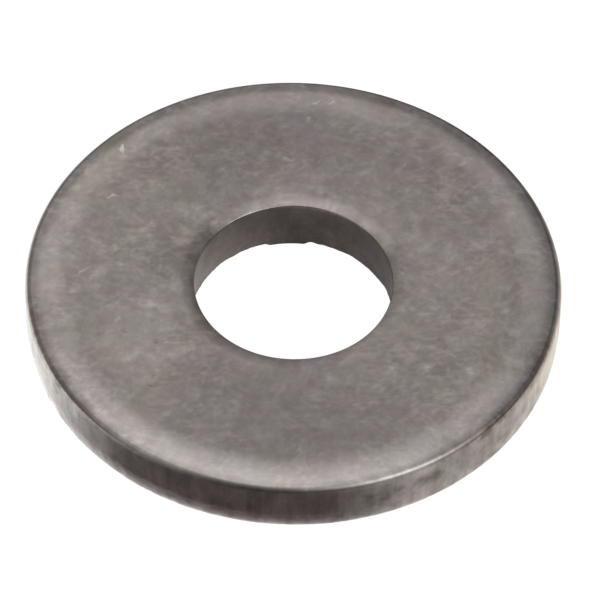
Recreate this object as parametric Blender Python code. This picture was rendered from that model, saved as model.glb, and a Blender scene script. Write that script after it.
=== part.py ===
"""A thick plain steel washer, punched from sheet and tumbled, lying with its struck face up.

Metres, +Z up. The origin is the centre of the underside, on the axis of the bore.
One section, drawn as radius and height, is turned round the axis. The bore's torn
lower lip, which isn't round on the real one, is shaped after the turn.
"""

import math

import bmesh
import bpy

# Driving dimensions
OUTER_DIAMETER = 0.018
BORE_DIAMETER = 0.00667
THICKNESS = 0.00205

# Rim of the struck face, where the sheet rolled down before the die cut it
RIM_ROLL_WIDTH = 0.00115
RIM_ROLL_DROP = 0.00008
RIM_CORNER_RADIUS = 0.00013

# Outer wall: cut clean above the break height, torn and leaning inwards below it
RIM_BREAK_HEIGHT = 0.00075
RIM_BREAK_LEAN = 0.00006
RIM_BASE_RADIUS = 0.00025

# Mouth of the bore, rolled in by the punch
MOUTH_ROLL_WIDTH = 0.00025
MOUTH_ROLL_DROP = 0.00017

# Bore wall: cut clean above the break height, torn and opening outwards below it
BORE_BREAK_HEIGHT = 0.00085
BORE_BREAK_LEAN = 0.00007
BORE_LIP_RADIUS = 0.00005

# Torn lip of the bore, as shares of its lean: a ripple all round, one patch that stands in
# as a slight burr, and a nick beside the patch
LIP_RIPPLE = 0.12
LIP_RIPPLE_WAVES = ((7, 0.4), (13, 1.9), (23, 4.1))
PATCH_ANGLE = math.radians(94.5)
PATCH_HALF_WIDTH = math.radians(10)
PATCH_EDGE = math.radians(2.5)
PATCH_OPENING = -0.2
NICK_ANGLE = math.radians(80)
NICK_HALF_WIDTH = math.radians(4)
NICK_OPENING = 0.6

# Fineness of the mesh
SEGMENTS = 144
CORNER_STEPS = 4
ROLL_STEPS = 5

# Dull, slightly warm grey of tumbled steel
STEEL_COLOUR = (0.34, 0.315, 0.295, 1.0)
STEEL_ROUGHNESS = 0.42


def arc(centre, radius, start, end, steps):
    """Points of a circular arc in the section, from one angle to the other, both ends in."""
    turns = [start + (end - start) * step / steps for step in range(steps + 1)]
    return [
        (centre[0] + radius * math.cos(turn), centre[1] + radius * math.sin(turn))
        for turn in turns
    ]


def torn_wall(wall_radius, outward, break_height, lean, foot_radius):
    """The torn part of a wall and the rounded foot that joins it to the underside, top to bottom.

    outward is +1 where the wall faces away from the axis, -1 where it faces the axis.
    The foot's arc is tangent to the leaning wall and to the underside.
    """
    tilt = math.atan(lean / break_height)
    reach = foot_radius + (break_height - foot_radius) * math.sin(tilt)
    foot_centre = (wall_radius - outward * reach / math.cos(tilt), foot_radius)
    foot = arc((0.0, 0.0), foot_radius, -tilt, -math.pi / 2, CORNER_STEPS)
    points = [(wall_radius, break_height)]
    points += [(foot_centre[0] + outward * r, foot_centre[1] + z) for r, z in foot]
    return points


def rim_top():
    """The struck face's rim, from the flat outwards: the roll, then the corner to the wall."""
    outer_radius = OUTER_DIAMETER / 2
    slope = math.atan(2 * RIM_ROLL_DROP / RIM_ROLL_WIDTH)
    corner_centre = (
        outer_radius - RIM_CORNER_RADIUS,
        THICKNESS - RIM_ROLL_DROP - RIM_CORNER_RADIUS * math.cos(slope),
    )
    corner = arc(corner_centre, RIM_CORNER_RADIUS, math.pi / 2 - slope, 0.0, CORNER_STEPS)
    roll_start = corner[0][0] - RIM_ROLL_WIDTH
    roll = []
    for step in range(ROLL_STEPS):
        share = step / ROLL_STEPS
        roll.append((roll_start + RIM_ROLL_WIDTH * share, THICKNESS - RIM_ROLL_DROP * share**2))
    return roll + corner


def bore_mouth():
    """The rolled mouth, a quarter ellipse from the clean-cut wall up to the flat of the face."""
    bore_radius = BORE_DIAMETER / 2
    points = []
    for step in range(ROLL_STEPS + 1):
        turn = math.pi / 2 * step / ROLL_STEPS
        radius = bore_radius + MOUTH_ROLL_WIDTH * (1 - math.cos(turn))
        height = THICKNESS - MOUTH_ROLL_DROP * (1 - math.sin(turn))
        points.append((radius, height))
    return points


def section():
    """The closed section, from the bore's lip up the bore, out over the face and down the rim."""
    bore_wall = torn_wall(
        BORE_DIAMETER / 2, -1, BORE_BREAK_HEIGHT, BORE_BREAK_LEAN, BORE_LIP_RADIUS
    )
    rim_wall = torn_wall(
        OUTER_DIAMETER / 2, 1, RIM_BREAK_HEIGHT, RIM_BREAK_LEAN, RIM_BASE_RADIUS
    )
    return bore_wall[::-1] + bore_mouth() + rim_top() + rim_wall


def turned(points):
    """A bmesh of the section turned a full circle round the Z axis."""
    mesh = bmesh.new()
    verts = [mesh.verts.new((radius, 0.0, height)) for radius, height in points]
    edges = [mesh.edges.new((verts[i - 1], verts[i])) for i in range(len(verts))]
    bmesh.ops.spin(
        mesh,
        geom=verts + edges,
        cent=(0, 0, 0),
        axis=(0, 0, 1),
        angle=2 * math.pi,
        steps=SEGMENTS,
        use_merge=True,
    )
    bmesh.ops.recalc_face_normals(mesh, faces=mesh.faces)
    return mesh


def lip_opening(angle):
    """How far the torn lip stands open at this angle, as a share of its lean: about 1."""
    ripple = sum(math.sin(waves * angle + phase) for waves, phase in LIP_RIPPLE_WAVES)
    nick = max(0.0, 1 - abs(angle - NICK_ANGLE) / NICK_HALF_WIDTH)
    torn = 1 + LIP_RIPPLE * ripple + NICK_OPENING * nick
    past_patch = (abs(angle - PATCH_ANGLE) - PATCH_HALF_WIDTH) / PATCH_EDGE
    torn_share = min(1.0, max(0.0, past_patch))
    return PATCH_OPENING + (torn - PATCH_OPENING) * torn_share


def tear_bore_lip(mesh):
    """Moves the bore's torn wall in or out by the lip's opening, the more the lower it lies."""
    middle_radius = (BORE_DIAMETER + OUTER_DIAMETER) / 4
    for vert in mesh.verts:
        radius = vert.co.xy.length
        if vert.co.z >= BORE_BREAK_HEIGHT or radius > middle_radius:
            continue
        opening = lip_opening(math.atan2(vert.co.y, vert.co.x))
        leaned = BORE_BREAK_LEAN * (1 - vert.co.z / BORE_BREAK_HEIGHT)
        scale = (radius + leaned * (opening - 1)) / radius
        vert.co.x *= scale
        vert.co.y *= scale


def steel():
    material = bpy.data.materials.new("tumbled_steel")
    material.use_nodes = True
    shader = material.node_tree.nodes["Principled BSDF"]
    shader.inputs["Base Color"].default_value = STEEL_COLOUR
    shader.inputs["Metallic"].default_value = 1.0
    shader.inputs["Roughness"].default_value = STEEL_ROUGHNESS
    return material


def make_washer():
    shape = turned(section())
    tear_bore_lip(shape)
    mesh = bpy.data.meshes.new("washer")
    shape.to_mesh(mesh)
    shape.free()
    mesh.shade_smooth()
    mesh.materials.append(steel())
    washer = bpy.data.objects.new("washer", mesh)
    bpy.context.scene.collection.objects.link(washer)


for old in list(bpy.data.objects):
    bpy.data.objects.remove(old)
make_washer()
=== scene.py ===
import math

import bmesh
import bpy
from mathutils import Matrix, Vector, noise


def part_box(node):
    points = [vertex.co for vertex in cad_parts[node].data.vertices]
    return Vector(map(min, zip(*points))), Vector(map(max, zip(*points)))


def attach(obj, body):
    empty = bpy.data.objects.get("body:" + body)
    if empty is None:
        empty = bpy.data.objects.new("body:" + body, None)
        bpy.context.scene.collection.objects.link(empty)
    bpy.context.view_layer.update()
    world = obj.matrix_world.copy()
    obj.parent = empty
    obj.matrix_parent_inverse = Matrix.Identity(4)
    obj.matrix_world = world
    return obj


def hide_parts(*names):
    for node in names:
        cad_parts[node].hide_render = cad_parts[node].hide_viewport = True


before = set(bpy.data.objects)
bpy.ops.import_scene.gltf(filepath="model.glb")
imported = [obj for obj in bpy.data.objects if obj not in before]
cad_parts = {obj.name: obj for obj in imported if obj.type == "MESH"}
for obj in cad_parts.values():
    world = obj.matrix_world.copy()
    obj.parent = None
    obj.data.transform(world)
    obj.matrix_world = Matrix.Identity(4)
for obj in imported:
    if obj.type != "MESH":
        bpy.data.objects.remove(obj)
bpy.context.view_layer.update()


# The camera stands about 50 degrees above the washer with a very long lens, as for a
# close-up from a distance, so that the far rim is hardly smaller than the near one. It is
# leaned over by a little more than a degree.
LENS_MM = 540.3
SENSOR_MM = 36
CAMERA_ELEVATION = math.radians(50.17)
CAMERA_ROLL = math.radians(1.38)
CAMERA_DISTANCE = 0.3036
WASHER_LEFT_OF_MIDDLE = 0.00025
WASHER_BELOW_MIDDLE = 0.000652
NEAREST_SEEN = 0.01
FARTHEST_SEEN = 10

looking = Vector((0, math.cos(CAMERA_ELEVATION), -math.sin(CAMERA_ELEVATION)))
level_turn = looking.to_track_quat("-Z", "Y").to_matrix().to_4x4()
camera_turn = level_turn @ Matrix.Rotation(CAMERA_ROLL, 4, "Z")
back_and_aside = Vector((WASHER_LEFT_OF_MIDDLE, WASHER_BELOW_MIDDLE, CAMERA_DISTANCE))
camera_data = bpy.data.cameras.new("camera")
camera_data.lens = LENS_MM
camera_data.sensor_width = SENSOR_MM
camera_data.clip_start = NEAREST_SEEN
camera_data.clip_end = FARTHEST_SEEN
camera = bpy.data.objects.new("camera", camera_data)
camera.matrix_world = Matrix.Translation(camera_turn @ back_and_aside) @ camera_turn
bpy.context.scene.collection.objects.link(camera)
bpy.context.scene.camera = camera


# The washer is one piece of steel, punched from sheet together with its hole and then
# tumbled. The punch rolled the struck face down at both edges, cut the upper half of
# each wall clean and tore the rest. It lies with its struck face up.
_, washer_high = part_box("washer")
RIM_RADIUS = washer_high.x
THICKNESS = washer_high.z
BORE_RADIUS = 0.003335
BORE_BREAK_HEIGHT = 0.00085
BORE_BREAK_LEAN = 0.00007
RIM_BREAK_HEIGHT = 0.00075
RIM_BREAK_LEAN = 0.00006
BREAK_ROUNDING = 0.00006
MOUTH_ROLL_WIDTH = 0.00027
MOUTH_ROLL_DROP = 0.00009
RIM_ROLL_START = 0.00805
RIM_ROLL_MIDDLE = 0.00855
RIM_ROLL_MIDDLE_DROP = 0.000035
RIM_ROLL_DROP = 0.000095

# The section's corners, from the bore's lip up the bore, over the face and down the rim:
# radius, height, how far the rounding reaches along each side, and the steps in it
CORNERS = (
    (BORE_RADIUS + BORE_BREAK_LEAN, 0.0, 0.00005, 3),
    (BORE_RADIUS, BORE_BREAK_HEIGHT, BREAK_ROUNDING, 2),
    (BORE_RADIUS, THICKNESS - MOUTH_ROLL_DROP, 0.00003, 3),
    (BORE_RADIUS + MOUTH_ROLL_WIDTH, THICKNESS, 0.00025, 9),
    (RIM_ROLL_START, THICKNESS, 0.0003, 6),
    (RIM_ROLL_MIDDLE, THICKNESS - RIM_ROLL_MIDDLE_DROP, 0.00019, 5),
    (RIM_RADIUS, THICKNESS - RIM_ROLL_DROP, 0.00022, 14),
    (RIM_RADIUS, RIM_BREAK_HEIGHT, BREAK_ROUNDING, 2),
    (RIM_RADIUS - RIM_BREAK_LEAN, 0.0, 0.00023, 8),
)

# Sides of the section longer than this are cut up, and the section is turned in two goes:
# one sector finely, then the sector round the rest
LONG_SIDE = 0.0003
CUTS = 10
SEGMENTS = 720
SECTORS = 9
SAME_PLACE = 1e-7

shape = bmesh.new()
corner_verts = [shape.verts.new((radius, 0, height)) for radius, height, _, _ in CORNERS]
for i in range(len(corner_verts)):
    shape.edges.new((corner_verts[i - 1], corner_verts[i]))
for vert, (_, _, reach, steps) in zip(corner_verts, CORNERS):
    bmesh.ops.bevel(
        shape, geom=[vert], offset=reach, offset_type="OFFSET", segments=steps,
        profile=0.5, affect="VERTICES", material=-1,
    )
long_sides = [edge for edge in shape.edges if edge.calc_length() > LONG_SIDE]
bmesh.ops.subdivide_edges(shape, edges=long_sides, cuts=CUTS)
bmesh.ops.spin(
    shape, geom=shape.verts[:] + shape.edges[:], cent=(0, 0, 0), axis=(0, 0, 1),
    angle=2 * math.pi / SECTORS, steps=SEGMENTS // SECTORS,
)
bmesh.ops.spin(
    shape, geom=shape.verts[:] + shape.edges[:] + shape.faces[:], cent=(0, 0, 0), axis=(0, 0, 1),
    angle=2 * math.pi * (SECTORS - 1) / SECTORS, steps=SECTORS - 1, use_duplicate=True,
)
bmesh.ops.remove_doubles(shape, verts=shape.verts, dist=SAME_PLACE)
bmesh.ops.recalc_face_normals(shape, faces=shape.faces)

# The torn lip of the bore, as shares of its lean: a ripple of a few waves, finer rags, a
# patch where the lip stands in, and a nick beside it
LIP_RIPPLE = 0.12
LIP_WAVES = ((7, 0.4), (13, 1.9), (23, 4.1))
LIP_RAGS = ((14, 3.0, 0.25), (40, 5.0, 0.12))
PATCH_ANGLE = math.radians(94.5)
PATCH_HALF_WIDTH = math.radians(10)
PATCH_EDGE = math.radians(2.5)
PATCH_OPENING = -0.2
PATCH_RAGS = 0.3
NICK_ANGLE = math.radians(80)
NICK_HALF_WIDTH = math.radians(4)
NICK_OPENING = 0.6

# The ragged line where each wall breaks from cut to torn: waves round the washer, seed and
# height. The torn part has crumbs, of so many to the metre round and up
EDGE_BAND = 0.0004
BREAK_RAGS = ((5, 0.0, 0.00009), (22, 1.0, 0.00006))
RAGS_STAY_BELOW_FACE = 0.0003
TORN_FADE = 0.00006
CRUMBS_ROUND = 9000
CRUMBS_UP = 3500
CRUMB_DEPTH = 0.000007
CRUMBS_FADE_AT_FOOT = 0.0001


def around(angle, waves, seed):
    """A smooth random number from about -1 to 1 that closes up round the washer."""
    return noise.noise(Vector((math.cos(angle) * waves, math.sin(angle) * waves, seed)))


def share(number):
    """The number, kept between 0 and 1."""
    return min(1.0, max(0.0, number))


def lip_opening(angle):
    """How far the torn lip stands open, as a share of its lean: less in the patch."""
    ripple = LIP_RIPPLE * sum(math.sin(waves * angle + phase) for waves, phase in LIP_WAVES)
    rags = sum(depth * around(angle, waves, seed) for waves, seed, depth in LIP_RAGS)
    nick = NICK_OPENING * max(0.0, 1 - abs(angle - NICK_ANGLE) / NICK_HALF_WIDTH)
    torn_share = share((abs(angle - PATCH_ANGLE) - PATCH_HALF_WIDTH) / PATCH_EDGE)
    in_patch = PATCH_OPENING + PATCH_RAGS * rags
    return (1 - torn_share) * in_patch + torn_share * (1 + ripple + rags + nick)


torn = shape.verts.layers.float.new("torn")
for vert in shape.verts:
    radius, height = vert.co.xy.length, vert.co.z
    angle = math.atan2(vert.co.y, vert.co.x)
    in_bore = radius < BORE_RADIUS + EDGE_BAND
    on_rim = radius > RIM_RADIUS - EDGE_BAND
    if in_bore:
        break_height, seed = BORE_BREAK_HEIGHT, 11.0
        leaned = BORE_BREAK_LEAN * max(0.0, 1 - height / break_height)
        radius += leaned * (lip_opening(angle) - 1)
    elif on_rim:
        break_height, seed = RIM_BREAK_HEIGHT, 21.0
    if in_bore or on_rim:
        rags = sum(high * around(angle, waves, seed + more) for waves, more, high in BREAK_RAGS)
        below = share((break_height - height) / TORN_FADE + 0.5)
        if height < THICKNESS - RAGS_STAY_BELOW_FACE:
            if height < break_height:
                reach = height / break_height
            else:
                reach = (THICKNESS - height) / (THICKNESS - break_height)
            vert.co.z += rags * share(reach)
        foot = min(1.0, height / CRUMBS_FADE_AT_FOOT)
        crumb = Vector((vert.co.x * CRUMBS_ROUND, vert.co.y * CRUMBS_ROUND, height * CRUMBS_UP))
        radius += CRUMB_DEPTH * noise.noise(crumb) * below * foot * (1 if in_bore else -1)
        vert[torn] = below
    scale = radius / vert.co.xy.length
    vert.co.x *= scale
    vert.co.y *= scale

washer_mesh = bpy.data.meshes.new("punched_washer")
shape.to_mesh(washer_mesh)
shape.free()
washer_mesh.shade_smooth()
washer = bpy.data.objects.new("punched_washer", washer_mesh)
bpy.context.scene.collection.objects.link(washer)


def wire(tree, kind, inputs, output=0, **settings):
    """Adds a node, sets it up, fills or links its inputs, and gives back one output."""
    made = tree.nodes.new(kind)
    for name, setting in settings.items():
        setattr(made, name, setting)
    for name, source in inputs.items():
        if isinstance(source, bpy.types.NodeSocket):
            tree.links.new(source, made.inputs[name])
        else:
            made.inputs[name].default_value = source
    return made.outputs[output]


def calc(tree, operation, *numbers):
    """One step of arithmetic on numbers."""
    return wire(tree, "ShaderNodeMath", dict(enumerate(numbers)), operation=operation)


def vector(tree, operation, *inputs, output="Vector", **more):
    """One step of arithmetic on places, directions or colours."""
    inputs = {**dict(enumerate(inputs)), **more}
    return wire(tree, "ShaderNodeVectorMath", inputs, output, operation=operation)


def length(tree, source):
    return vector(tree, "LENGTH", source, output="Value")


def xyz(tree, source):
    """A place's or a direction's three numbers."""
    return wire(tree, "ShaderNodeSeparateXYZ", {0: source}).node.outputs


def mixed(tree, factor, first, second, **settings):
    """The first colour where the factor is 0, the second where it is 1."""
    inputs = {"Factor": factor, 6: first, 7: second}
    return wire(tree, "ShaderNodeMix", inputs, 2, data_type="RGBA", **settings)


def turned(tree, source, angle):
    """A place turned round the upright axis."""
    inputs = {"Vector": source, "Angle": angle}
    return wire(tree, "ShaderNodeVectorRotate", inputs, rotation_type="Z_AXIS")


def smooth_step(tree, value, start, end, low=0.0, high=1.0):
    """A soft change from low to high while the value goes from start to end."""
    inputs = {"Value": value, "From Min": start, "From Max": end, "To Min": low, "To Max": high}
    return wire(tree, "ShaderNodeMapRange", inputs, interpolation_type="SMOOTHSTEP")


def blotches(tree, place, scale, detail=2.0, roughness=0.5):
    """Random blotches, so many to the millimetre, from about -1 to 1."""
    inputs = {"Vector": place, "Scale": scale, "Detail": detail, "Roughness": roughness}
    return calc(tree, "MULTIPLY_ADD", wire(tree, "ShaderNodeTexNoise", inputs), 4.0, -2.0)


NUMBER, VECTOR = "NodeSocketFloat", "NodeSocketVector"


def group_of(name, sockets_in, socket_out):
    """An empty shader node group, with what it is given and its one result."""
    group = bpy.data.node_groups.new(name, "ShaderNodeTree")
    for socket, kind in sockets_in:
        group.interface.new_socket(socket, in_out="INPUT", socket_type=kind)
    group.interface.new_socket(socket_out, in_out="OUTPUT", socket_type=NUMBER)
    given = group.nodes.new("NodeGroupInput").outputs
    return group, given, group.nodes.new("NodeGroupOutput").inputs[socket_out]


# Hair scratches: in each cell of a random pattern one short arc, turned any way, some faint
# and some clear. About a third of the cells have none
CELLS_WITHOUT = 0.35
tree, given, result = group_of(
    "hair_scratches",
    (
        ("Place", VECTOR), ("Scale", NUMBER), ("Shift", VECTOR),
        ("Length", NUMBER), ("Width", NUMBER), ("Bend", NUMBER),
    ),
    "Scratch",
)
hair_scratches = tree
cells = vector(tree, "SCALE", given["Place"], Scale=given["Scale"])
cells = vector(tree, "ADD", cells, given["Shift"])
inputs = {"Vector": cells, "Scale": 1.0}
cell = wire(tree, "ShaderNodeTexVoronoi", inputs, "Position", voronoi_dimensions="2D")
chance = wire(tree, "ShaderNodeSeparateColor", {0: cell.node.outputs["Color"]}).node.outputs
turn = calc(tree, "MULTIPLY", chance["Red"], 2 * math.pi)
local = xyz(tree, turned(tree, vector(tree, "SUBTRACT", cells, cell), turn))
bend = calc(tree, "MULTIPLY", calc(tree, "MULTIPLY", local["X"], local["X"]), given["Bend"])
across = calc(tree, "ABSOLUTE", calc(tree, "SUBTRACT", local["Y"], bend))
line = smooth_step(tree, across, given["Width"], 0.0)
along = calc(tree, "ABSOLUTE", local["X"])
half_length = calc(tree, "MULTIPLY", given["Length"], 0.5)
line = calc(tree, "MULTIPLY", line, smooth_step(tree, along, given["Length"], half_length))
clear = smooth_step(tree, chance["Green"], CELLS_WITHOUT, 1.0)
tree.links.new(calc(tree, "MULTIPLY", line, clear), result)

# A dab: one soft mark, round or oval, full in its middle fifth and gone at its reach
DAB_FULL_WITHIN = 0.2
tree, given, result = group_of(
    "dab", (("Place", VECTOR), ("Centre", VECTOR), ("Turn", NUMBER), ("Size", VECTOR)), "Mark",
)
dab = tree
local = vector(tree, "SUBTRACT", given["Place"], given["Centre"])
local = vector(tree, "DIVIDE", turned(tree, local, given["Turn"]), given["Size"])
tree.links.new(smooth_step(tree, length(tree, local), 1.0, DAB_FULL_WITHIN), result)


def from_group(tree, group, inputs):
    """Places a node group in a material and gives back its result."""
    return wire(tree, "ShaderNodeGroup", inputs, node_tree=group)


def dab_at(tree, place, centre, direction, reach):
    """A dab turned by its direction in degrees."""
    inputs = {"Place": place, "Centre": centre, "Turn": -math.radians(direction), "Size": reach}
    return from_group(tree, dab, inputs)


# Where a point of the steel lies, in millimetres: on the struck face or on a wall, and
# whether the wall is torn there. The bore's wall has a quarter of the outer wall's marks
MM_IN_METRE = 1000.0
FACE_FROM_HEIGHT = (1.80, 1.90)
OUTER_WALL_FROM = (5.0, 7.0)
BORE_MARKS = 0.25

steel = bpy.data.materials.new("tumbled_steel")
steel.use_nodes = True
tree = steel.node_tree
shader = tree.nodes["Principled BSDF"]
place = wire(tree, "ShaderNodeTexCoord", {}, "Object")
place = vector(tree, "SCALE", place, Scale=MM_IN_METRE)
axes = xyz(tree, place)
level_place = wire(tree, "ShaderNodeCombineXYZ", {"X": axes["X"], "Y": axes["Y"]})
from_axis = length(tree, level_place)
torn_part = wire(tree, "ShaderNodeAttribute", {}, "Fac", attribute_name="torn")
on_top = smooth_step(tree, axes["Z"], *FACE_FROM_HEIGHT)
wall_marks = smooth_step(tree, from_axis, *OUTER_WALL_FROM, BORE_MARKS, 1.0)
wall_marks = calc(tree, "MULTIPLY", calc(tree, "SUBTRACT", 1.0, on_top), wall_marks)

# Tumbling rubbed a ring of the face bright just inside the rim, a little further out in
# front than behind. Outside it the edge is darkened at the right and the back with
# painted shade
RING_STARTS, RING_STARTS_OUT_IN_FRONT = (7.4, 8.15), 0.012
RING_ENDS, RING_ENDS_OUT_IN_FRONT = (8.4, 8.75), 0.02
RIM_SHADE_STARTS = (8.3, 8.65)
RIM_SHADE_RIGHT_SHARE = 0.5
RIM_SHADE_BACK = (-3.0, 1.5)

ring_start = calc(tree, "MULTIPLY_ADD", axes["Y"], RING_STARTS_OUT_IN_FRONT, from_axis)
rim_wear = calc(tree, "MULTIPLY", smooth_step(tree, ring_start, *RING_STARTS), on_top)
ring_end = calc(tree, "MULTIPLY_ADD", axes["Y"], RING_ENDS_OUT_IN_FRONT, from_axis)
rim_wear = calc(tree, "MULTIPLY", rim_wear, smooth_step(tree, ring_end, *RING_ENDS, 1.0, 0.0))
# Painted shade on the rim edge, at the right and the back
rim_shade = calc(tree, "MULTIPLY", smooth_step(tree, from_axis, *RIM_SHADE_STARTS), on_top)
right_and_back = calc(tree, "MULTIPLY_ADD", axes["X"], RIM_SHADE_RIGHT_SHARE, axes["Y"])
right_and_back = smooth_step(tree, right_and_back, *RIM_SHADE_BACK)
rim_shade = calc(tree, "MULTIPLY", rim_shade, right_and_back)

# The grain of the tumbled skin, about 0 on average: dark and light mottling, clouds, fine
# pits, light specks, short soft rubs in several directions and hair scratches. It is
# calmer in two broad places in front of the bore and behind it
MOTTLE_SHINE = 0.155
CLOUD_SHINE = 0.10
FINE_SHINE = 0.02
SPECK_SHINE, SPECK_EDGE = 0.04, (0.0, 0.7)
RUBS = (
    # direction in degrees, length and width in millimetres, shift, how much brighter
    (5, 0.52, 0.21, (3.0, 9.0, 0.0), 0.105),
    (45, 0.48, 0.21, (7.0, 1.0, 0.0), 0.085),
    (-30, 0.48, 0.22, (13.0, 5.0, 0.0), 0.075),
    (90, 0.40, 0.22, (19.0, 11.0, 0.0), 0.06),
)
RUB_PATCH_EDGE = (-0.15, 0.35)
DARKEST_RUB, FULL_RUB = -0.4, 0.8
SCRATCHES = (
    # cells to the millimetre, shift, length, width and bend in cells, how much brighter
    (1.3, (3.1, 7.7, 0.0), 0.32, 0.09, 0.13, 0.075),
    (1.9, (11.3, 2.9, 0.0), 0.36, 0.14, -0.12, 0.085),
    (2.6, (5.9, 13.1, 0.0), 0.36, 0.18, 0.08, 0.08),
    (1.7, (17.7, 9.1, 0.0), 0.35, 0.14, 0.1, -0.09),
)
CALM_IN_FRONT = ((0.0, -6.0, 2.05), 0, (6.0, 4.0, 9.0))
CALM_BEHIND = ((0.0, 6.0, 2.05), 0, (7.0, 4.0, 9.0))
CALM_GRAIN = -0.32

mottle = blotches(tree, place, scale=1.3, detail=5.0, roughness=0.62)
fine = blotches(tree, place, scale=8.0, detail=2.0, roughness=0.65)
specks = smooth_step(tree, blotches(tree, place, scale=5.0, detail=1.0), *SPECK_EDGE)
clouds = blotches(tree, place, scale=1.9, detail=2.0, roughness=0.6)
grain = calc(tree, "MULTIPLY", mottle, MOTTLE_SHINE)
grain = calc(tree, "MULTIPLY_ADD", fine, FINE_SHINE, grain)
grain = calc(tree, "MULTIPLY_ADD", clouds, CLOUD_SHINE, grain)
grain = calc(tree, "MULTIPLY_ADD", specks, SPECK_SHINE, grain)
for direction, rub_length, width, shift, weight in RUBS:
    inputs = {
        0: place, "Location": shift, "Rotation": (0, 0, math.radians(direction)),
        "Scale": (rub_length, width, 1.0),
    }
    strokes = wire(tree, "ShaderNodeMapping", inputs, vector_type="TEXTURE")
    strokes = blotches(tree, strokes, scale=1.0, detail=1.0)
    patches = vector(tree, "ADD", place, shift)
    patches = blotches(tree, patches, scale=0.6, detail=1.0)
    patches = smooth_step(tree, patches, *RUB_PATCH_EDGE)
    strokes = calc(tree, "MULTIPLY", strokes, patches)
    strokes = smooth_step(tree, strokes, DARKEST_RUB, FULL_RUB, DARKEST_RUB, 1.0)
    grain = calc(tree, "MULTIPLY_ADD", calc(tree, "MULTIPLY", strokes, on_top), weight, grain)
for scale, shift, scratch_length, width, bend, weight in SCRATCHES:
    inputs = {
        "Place": place, "Scale": scale, "Shift": shift,
        "Length": scratch_length, "Width": width, "Bend": bend,
    }
    scratch = calc(tree, "MULTIPLY", from_group(tree, hair_scratches, inputs), on_top)
    grain = calc(tree, "MULTIPLY_ADD", scratch, weight, grain)
calm_in_front = dab_at(tree, place, *CALM_IN_FRONT)
calm = calc(tree, "ADD", calm_in_front, dab_at(tree, place, *CALM_BEHIND))
grain = calc(tree, "MULTIPLY", grain, calc(tree, "MULTIPLY_ADD", calm, CALM_GRAIN, 1.0))
# Its own square is added, so that what is bright stands out more than what is dark
grain = calc(tree, "MULTIPLY_ADD", grain, grain, grain)

# Shine runs from 0, dull and dark, to 1, rubbed bright. It is a little below 0 in smudges
# and painted shade, and above 1 in a fresh knock. The rubbed ring is wear, brighter in
# front with a painted highlight, and the rim edge outside it takes painted shade
BASE_SHINE = 0.241
RING_SHINE_BEHIND, RING_SHINE_AND_FRONT_HIGHLIGHT = 0.29, 0.40
FRONT_OF_RING = (0.0, -7.5)
RIM_SHADE_SHINE = -0.12
LEAST_SHINE, MOST_SHINE = -0.25, 1.4

ring_shine = (RING_SHINE_BEHIND, RING_SHINE_AND_FRONT_HIGHLIGHT)
# The ring's shine: wear, with a painted highlight added in front
ring_shine_and_front_highlight = smooth_step(tree, axes["Y"], *FRONT_OF_RING, *ring_shine)
shine = calc(tree, "MULTIPLY_ADD", rim_wear, ring_shine_and_front_highlight, BASE_SHINE)
# Painted shade on the rim edge
shine = calc(tree, "MULTIPLY_ADD", rim_shade, RIM_SHADE_SHINE, shine)
shine = calc(tree, "ADD", shine, grain)

# The walls have smears, upright streaks from the punch, clearest in front, and dark pits
# at the sides and the back. The torn parts are crumbly
FRONT_OF_WALL = (-8.4, -6.0)
SMEAR_STRETCH, SMEAR_SHINE = (1.0, 1.0, 0.5), 0.25
STREAK_STRETCH = (1.0, 1.0, 0.05)
STREAK_SHINE_IN_FRONT, STREAK_SHINE_BEHIND = 0.17, 0.12
PIT_EDGE, PIT_SHINE = (0.1, 0.6), -0.13
CRUMB_SHINE = 0.12

upright = wire(tree, "ShaderNodeMapping", {0: place, "Scale": STREAK_STRETCH})
streaks = blotches(tree, upright, scale=3.5, detail=3.0, roughness=0.6)
streaks = calc(tree, "MULTIPLY", streaks, wall_marks)
streak_shine = (STREAK_SHINE_IN_FRONT, STREAK_SHINE_BEHIND)
streak_shine = smooth_step(tree, axes["Y"], *FRONT_OF_WALL, *streak_shine)
smears = wire(tree, "ShaderNodeMapping", {0: place, "Scale": SMEAR_STRETCH})
smears = blotches(tree, smears, scale=1.6, detail=3.0, roughness=0.6)
smears = calc(tree, "MULTIPLY", smears, wall_marks)
wall_pits = blotches(tree, place, scale=2.4, detail=2.0, roughness=0.6)
wall_pits = smooth_step(tree, wall_pits, *PIT_EDGE)
wall_pits = calc(tree, "MULTIPLY", wall_pits, smooth_step(tree, axes["Y"], *FRONT_OF_WALL))
wall_pits = calc(tree, "MULTIPLY", wall_pits, wall_marks)
crumbs = blotches(tree, place, scale=6.0, detail=3.0, roughness=0.7)
crumbs = calc(tree, "MULTIPLY", crumbs, torn_part)
shine = calc(tree, "MULTIPLY_ADD", smears, SMEAR_SHINE, shine)
shine = calc(tree, "MULTIPLY_ADD", streaks, streak_shine, shine)
shine = calc(tree, "MULTIPLY_ADD", wall_pits, PIT_SHINE, shine)
shine = calc(tree, "MULTIPLY_ADD", crumbs, CRUMB_SHINE, shine)

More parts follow.
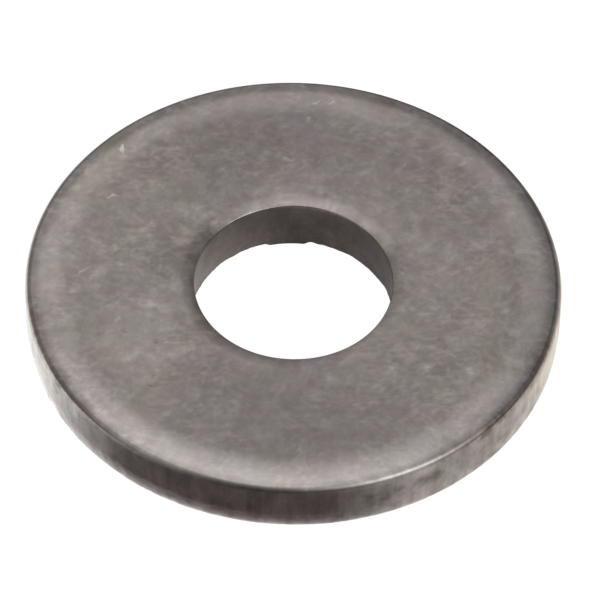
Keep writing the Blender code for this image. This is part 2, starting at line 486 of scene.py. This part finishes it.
# Single marks, each a dab whose outline is made uneven by the wobble, in millimetres
WOBBLE = 0.5
MARKS = (
    # centre, direction in degrees, reach in millimetres, and how much brighter
    # Broad darker and lighter patches of the face: partly its own uneven tone, partly painted
    # light and shade across it
    ((0.2, -6.0, 2.05), 0, (6.2, 3.2, 9.0), -0.18),
    ((-1.2, 5.7, 2.05), 0, (6.5, 3.3, 9.0), -0.18),
    ((5.0, 4.5, 2.05), -45, (3.4, 2.6, 9.0), -0.12),
    ((4.8, -3.4, 2.05), 45, (2.4, 2.0, 9.0), -0.08),
    ((-2.8, -4.0, 2.05), -35, (2.0, 1.5, 9.0), -0.12),
    ((-4.8, -2.4, 2.05), 60, (2.8, 2.2, 9.0), 0.13),
    ((-6.9, -4.1, 2.05), 120, (2.4, 1.0, 9.0), -0.12),
    ((-4.4, 0.8, 2.05), 90, (2.0, 1.0, 9.0), -0.16),
    ((7.7, -0.3, 2.05), 90, (4.0, 1.1, 9.0), -0.15),
    ((4.3, 7.1, 2.05), -30, (3.5, 1.1, 9.0), -0.14),
    ((0.0, 4.6, 2.05), 0, (2.6, 0.9, 9.0), 0.08),
    ((-8.11, -2.17, 2.05), 105, (1.9, 0.8, 9.0), -0.26),
    ((-7.4, -4.65, 2.05), 122, (2.2, 0.4, 9.0), -0.22),
    ((7.4, -4.6, 2.05), 58, (2.2, 0.45, 9.0), -0.08),
    ((5.9, -6.25, 2.05), 43, (3.0, 0.6, 9.0), -0.20),
    ((-0.4, 3.9, 2.05), 5, (1.4, 0.42, 9.0), 0.20),
    # Painted shade on the mouth of the bore, at the left and the right
    ((-3.15, 1.6, 2.05), 63, (2.0, 0.55, 0.6), -0.26),
    ((-3.46, -2.0, 2.05), -60, (1.3, 0.7, 9.0), -0.12),
    ((3.5, 0.5, 2.05), 98, (1.7, 0.5, 0.6), -0.20),
    # Bright knocks and rubs on the face
    ((-5.90, 5.66, 2.05), 0, (0.16, 0.16, 1.0), 1.25),
    ((-6.20, 3.51, 2.05), 10, (0.26, 0.10, 1.0), 0.66),
    ((-7.07, 0.24, 2.05), 30, (0.28, 0.09, 1.0), 0.38),
    ((0.67, 7.91, 2.05), 60, (0.16, 0.08, 1.0), 0.40),
    ((1.18, 7.93, 2.05), 40, (0.16, 0.08, 1.0), 0.40),
    ((0.38, 7.14, 2.05), 0, (0.14, 0.09, 1.0), 0.34),
    ((-0.22, 5.36, 2.05), -17, (0.32, 0.08, 1.0), 0.34),
    ((-6.18, -1.36, 2.05), 22, (0.36, 0.10, 1.0), 0.22),
    ((-5.10, -1.15, 2.05), -40, (0.46, 0.11, 1.0), 0.14),
    ((-5.86, -1.90, 2.05), 0, (0.16, 0.14, 1.0), 0.25),
    # Dark specks on the face
    ((-4.50, -2.80, 2.05), 0, (0.14, 0.12, 1.0), -0.28),
    ((-5.55, -2.32, 2.05), 0, (0.13, 0.12, 1.0), -0.18),
    ((-4.70, -4.68, 2.05), 0, (0.13, 0.12, 1.0), -0.23),
    ((3.24, -3.44, 2.05), 30, (0.20, 0.12, 1.0), -0.18),
    # Dark smudges on the outer wall; those at the height of its upper corner, at the front
    # right, are painted shade
    ((2.69, -8.59, 1.26), 0, (0.40, 0.40, 0.36), -0.26),
    ((3.22, -8.40, 0.99), 0, (0.42, 0.42, 0.34), -0.30),
    ((3.65, -8.23, 1.27), 0, (0.40, 0.40, 0.34), -0.32),
    ((4.42, -7.84, 1.25), 0, (0.50, 0.50, 0.40), -0.30),
    ((4.90, -7.55, 1.20), 0, (0.44, 0.44, 0.46), -0.34),
    ((6.50, -6.20, 1.80), 0, (0.55, 0.55, 0.22), -0.30),
    ((7.00, -5.65, 1.85), 0, (0.50, 0.50, 0.26), -0.30),
    ((8.20, -3.55, 1.88), 0, (2.30, 2.30, 0.50), -0.25),
    ((7.25, -5.35, 0.75), 0, (0.50, 0.50, 0.40), -0.22),
    ((7.80, -4.50, 1.10), 0, (0.40, 0.40, 0.30), -0.26),
    ((8.11, -3.90, 0.40), 0, (0.34, 0.34, 0.26), -0.30),
    ((8.37, -3.30, 0.55), 0, (0.34, 0.34, 0.26), -0.30),
)
wobble = wire(tree, "ShaderNodeTexNoise", {"Vector": place, "Scale": 3.5}, "Color")
wobble = vector(tree, "SUBTRACT", wobble, (0.5, 0.5, 0.5))
wobbled = vector(tree, "ADD", place, vector(tree, "SCALE", wobble, Scale=WOBBLE))
for centre, direction, reach, weight in MARKS:
    mark = dab_at(tree, wobbled, centre, direction, reach)
    shine = calc(tree, "MULTIPLY_ADD", mark, weight, shine)
shine = calc(tree, "MINIMUM", calc(tree, "MAXIMUM", shine, LEAST_SHINE), MOST_SHINE)

# The steel's colour at shine 0 and at shine 1, and the thin oxide skin that tints it, here
# a little redder, there a little yellower or bluer
DULL_STEEL = (0.31, 0.269, 0.248, 1)
BRIGHT_STEEL = (0.76, 0.690, 0.660, 1)
OXIDE_LEAST = (0.932, 0.945, 0.876)
OXIDE_SPREAD = (0.14, 0.11, 0.23)
CALM_TINT = (0.0, 0.0, 0.04)
# The painted shade on the rim edge is also a little bluer
RIM_SHADE_TINT = (-0.02, 0.0, 0.03)
TINTS = (
    # centre, direction in degrees, reach in millimetres, and the change of colour
    ((-5.0, 5.0, 2.05), 40, (5.0, 3.5, 9.0), (0.0, 0.0, -0.022)),
    ((-4.6, 0.9, 2.05), 90, (2.5, 1.6, 9.0), (0.0, 0.0, 0.020)),
    ((6.8, 3.6, 2.05), 120, (4.0, 2.5, 9.0), (0.0, 0.0, 0.022)),
    ((5.0, -2.0, 2.05), 60, (4.5, 3.0, 9.0), (0.0, 0.0, -0.014)),
    ((0.0, -7.0, 2.05), 0, (9.0, 3.2, 9.0), (-0.012, 0.003, 0.003)),
    ((8.2, -2.3, 2.05), 75, (5.5, 1.2, 9.0), (-0.020, 0.0, 0.012)),
    ((-8.4, 0.0, 2.05), 90, (4.5, 1.2, 9.0), (0.0, 0.0, 0.018)),
    ((0.0, 8.2, 2.05), 0, (5.5, 1.2, 9.0), (0.016, 0.0, 0.0)),
)
color = mixed(tree, shine, DULL_STEEL, BRIGHT_STEEL, clamp_factor=False)
inputs = {"Vector": place, "Scale": 0.75, "Detail": 3.0, "Roughness": 0.6}
oxide = wire(tree, "ShaderNodeTexNoise", inputs, "Color")
oxide = vector(tree, "MULTIPLY_ADD", oxide, OXIDE_SPREAD, OXIDE_LEAST)
oxide = vector(tree, "MULTIPLY_ADD", calm, CALM_TINT, oxide)
oxide = vector(tree, "MULTIPLY_ADD", rim_shade, RIM_SHADE_TINT, oxide)
for centre, direction, reach, change in TINTS:
    tint = dab_at(tree, place, centre, direction, reach)
    oxide = vector(tree, "MULTIPLY_ADD", tint, change, oxide)
color = vector(tree, "MULTIPLY", color, oxide)
tree.links.new(color, shader.inputs["Base Color"])
shader.inputs["Metallic"].default_value = 1.0

# The skin is smoother where it is rubbed and rougher where it is torn. Its relief is less
# than a thousandth of a millimetre
STEEL_ROUGHNESS = 0.31
MOTTLE_ROUGHNESS = 0.03
WORN_ROUGHNESS = -0.05
TORN_ROUGHNESS = 0.06
RELIEF_HEIGHT = 0.0000004
CRUMB_RELIEF = 1.5

roughness = calc(tree, "MULTIPLY_ADD", mottle, MOTTLE_ROUGHNESS, STEEL_ROUGHNESS)
roughness = calc(tree, "MULTIPLY_ADD", rim_wear, WORN_ROUGHNESS, roughness)
roughness = calc(tree, "MULTIPLY_ADD", torn_part, TORN_ROUGHNESS, roughness)
tree.links.new(roughness, shader.inputs["Roughness"])
relief = calc(tree, "MULTIPLY_ADD", crumbs, CRUMB_RELIEF, calc(tree, "ADD", fine, streaks))
inputs = {"Height": relief, "Strength": 1.0, "Distance": RELIEF_HEIGHT}
tree.links.new(wire(tree, "ShaderNodeBump", inputs), shader.inputs["Normal"])
washer_mesh.materials.append(steel)

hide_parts("washer")
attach(washer, "root")


# The floor is a wide sheet of white card, so bright that the camera sees nothing but white.
# What the steel mirrors of it is painted light and shade that the card gives off itself:
# bright at the washer's sides and round its foot, dim behind it, dim in front of it where
# the washer's shadow is painted, and painted shade under its bore.
FLOOR_HALF_WIDTH = 1.0
floor_shape = bmesh.new()
bmesh.ops.create_grid(floor_shape, x_segments=1, y_segments=1, size=FLOOR_HALF_WIDTH)
floor_mesh = bpy.data.meshes.new("floor")
floor_shape.to_mesh(floor_mesh)
floor_shape.free()
floor = bpy.data.objects.new("floor", floor_mesh)
bpy.context.scene.collection.objects.link(floor)

# White to the camera, a little above full so that no grey is left
SEEN_WHITE = 1.02

# The card's light in the steel's reflections beside the washer: dim all over, with four
# soft glows, a patch at the front right, and more light round the foot, most at the left
CARD_LEVEL = (0.130, 0.115, 0.117)
CARD_GLOWS = (
    # degrees round the washer, 0 in front and 90 at the right, how far the glow reaches and
    # how wide its full middle is, and its light
    (-120, 100, 0, (0.50, 0.50, 0.48)),
    (-84, 45, 9, (0.94, 1.01, 1.02)),
    (59, 53, 18, (0.56, 0.57, 0.57)),
    (98, 58, 4, (0.70, 0.64, 0.51)),
)
FRONT_RIGHT_PATCH = ((0.0061, -0.00975, 0.0), 32, (0.0048, 0.0019, 1.0))
FRONT_RIGHT_LIGHT = (0.22, 0.21, 0.21)
FOOT_GLOW = 0.95
FOOT_GLOW_EDGE = (0.0093, 0.0089)
FOOT_GLOW_TO_RIGHT = -0.7

# Its light under the bore: least at the back, more towards the camera, less at the right
UNDER_BORE_RADIUS = 0.006
UNDER_BORE_LEVEL = 0.115
UNDER_BORE_TO_FRONT = 0.30
UNDER_BORE_TO_RIGHT = -0.13
UNDER_BORE_COLOR = (1.0, 0.95, 0.93)

card = bpy.data.materials.new("white_card")
card.use_nodes = True
tree = card.node_tree
tree.nodes.remove(tree.nodes["Principled BSDF"])
place = wire(tree, "ShaderNodeTexCoord", {}, "Object")
from_centre = length(tree, place)
outward = vector(tree, "NORMALIZE", place)
beside_washer = CARD_LEVEL
for turn, reach, middle, color in CARD_GLOWS:
    turn = math.radians(turn)
    glow_middle = (math.sin(turn), -math.cos(turn), 0.0)
    facing = vector(tree, "DOT_PRODUCT", outward, glow_middle, output="Value")
    away = calc(tree, "ARCCOSINE", facing)
    glow = smooth_step(tree, away, math.radians(reach), math.radians(middle))
    beside_washer = vector(tree, "MULTIPLY_ADD", glow, color, beside_washer)
axes = xyz(tree, outward)
foot_glow = smooth_step(tree, from_centre, *FOOT_GLOW_EDGE, 0.0, FOOT_GLOW)
to_right = calc(tree, "MULTIPLY_ADD", axes["X"], FOOT_GLOW_TO_RIGHT, 1.0)
beside_washer = vector(tree, "ADD", beside_washer, calc(tree, "MULTIPLY", foot_glow, to_right))
patch = dab_at(tree, place, *FRONT_RIGHT_PATCH)
beside_washer = vector(tree, "MULTIPLY_ADD", patch, FRONT_RIGHT_LIGHT, beside_washer)
to_front = calc(tree, "SQRT", calc(tree, "SUBTRACT", 1.0, axes["Y"]))
under_bore = calc(tree, "MULTIPLY_ADD", to_front, UNDER_BORE_TO_FRONT, UNDER_BORE_LEVEL)
under_bore = calc(tree, "MULTIPLY_ADD", axes["X"], UNDER_BORE_TO_RIGHT, under_bore)
under_bore = vector(tree, "MULTIPLY", under_bore, UNDER_BORE_COLOR)
is_beside = calc(tree, "GREATER_THAN", from_centre, UNDER_BORE_RADIUS)
# The painted light and shade that the steel sees in the card
mirrored = mixed(tree, is_beside, under_bore, beside_washer)
mirrored = wire(tree, "ShaderNodeEmission", {"Color": mirrored, "Strength": 1.0})
seen = wire(tree, "ShaderNodeEmission", {"Strength": SEEN_WHITE})
camera_ray = wire(tree, "ShaderNodeLightPath", {}, "Is Camera Ray")
card_light = wire(tree, "ShaderNodeMixShader", {0: camera_ray, 1: mirrored, 2: seen})
tree.links.new(card_light, tree.nodes["Material Output"].inputs["Surface"])
floor_mesh.materials.append(card)


# The studio is a dark room with large soft lamps: a strong one at the front right with
# weaker ones above and below it, one almost overhead, and dim ones behind, at the left and
# at the right. The light of each falls off softly to all sides. The camera sees white.
ROOM_LEVEL = (0.05, 0.05, 0.05)
SOFT_LAMPS = (
    # degrees round the washer and above the floor, how wide in degrees, colour and brightness
    (194, 75, 14.2, (1.15, 1.15, 1.15)),
    (188, 38, 14.2, (0.43, 0.43, 0.43)),
    (182, 12, 14.2, (0.18, 0.18, 0.18)),
    (236, 22, 20.0, (0.30, 0.30, 0.30)),
    (-56, 22, 14.2, (0.35, 0.35, 0.35)),
    (-70, 54, 12.0, (0.65, 0.65, 0.65)),
    (102, 37, 14.2, (0.20, 0.20, 0.20)),
    (60, 66, 12.0, (0.95, 1.00, 1.03)),
    (50, 41, 11.5, (3.12, 3.22, 3.25)),
    (44, 1, 10.0, (0.90, 0.95, 0.98)),
    (129, 0, 14.2, (0.58, 0.58, 0.58)),
)
studio = bpy.data.worlds.new("studio")
studio.use_nodes = True
tree = studio.node_tree
towards = wire(tree, "ShaderNodeTexCoord", {}, "Generated")
room = ROOM_LEVEL
for turn, height, width, color in SOFT_LAMPS:
    turn, height = math.radians(turn), math.radians(height)
    level_reach = math.cos(height)
    lamp = (math.sin(turn) * level_reach, -math.cos(turn) * level_reach, math.sin(height))
    facing = vector(tree, "DOT_PRODUCT", towards, lamp, output="Value")
    sharpness = math.radians(width) ** -2
    fall_off = calc(tree, "MULTIPLY_ADD", facing, sharpness, -sharpness)
    room = vector(tree, "MULTIPLY_ADD", calc(tree, "EXPONENT", fall_off), color, room)
camera_ray = wire(tree, "ShaderNodeLightPath", {}, "Is Camera Ray")
room = mixed(tree, camera_ray, room, (SEEN_WHITE, SEEN_WHITE, SEEN_WHITE, 1))
tree.links.new(room, tree.nodes["Background"].inputs["Color"])
tree.nodes["Background"].inputs["Strength"].default_value = 1.0
bpy.context.scene.world = studio

bpy.context.scene.view_settings.view_transform = "Standard"
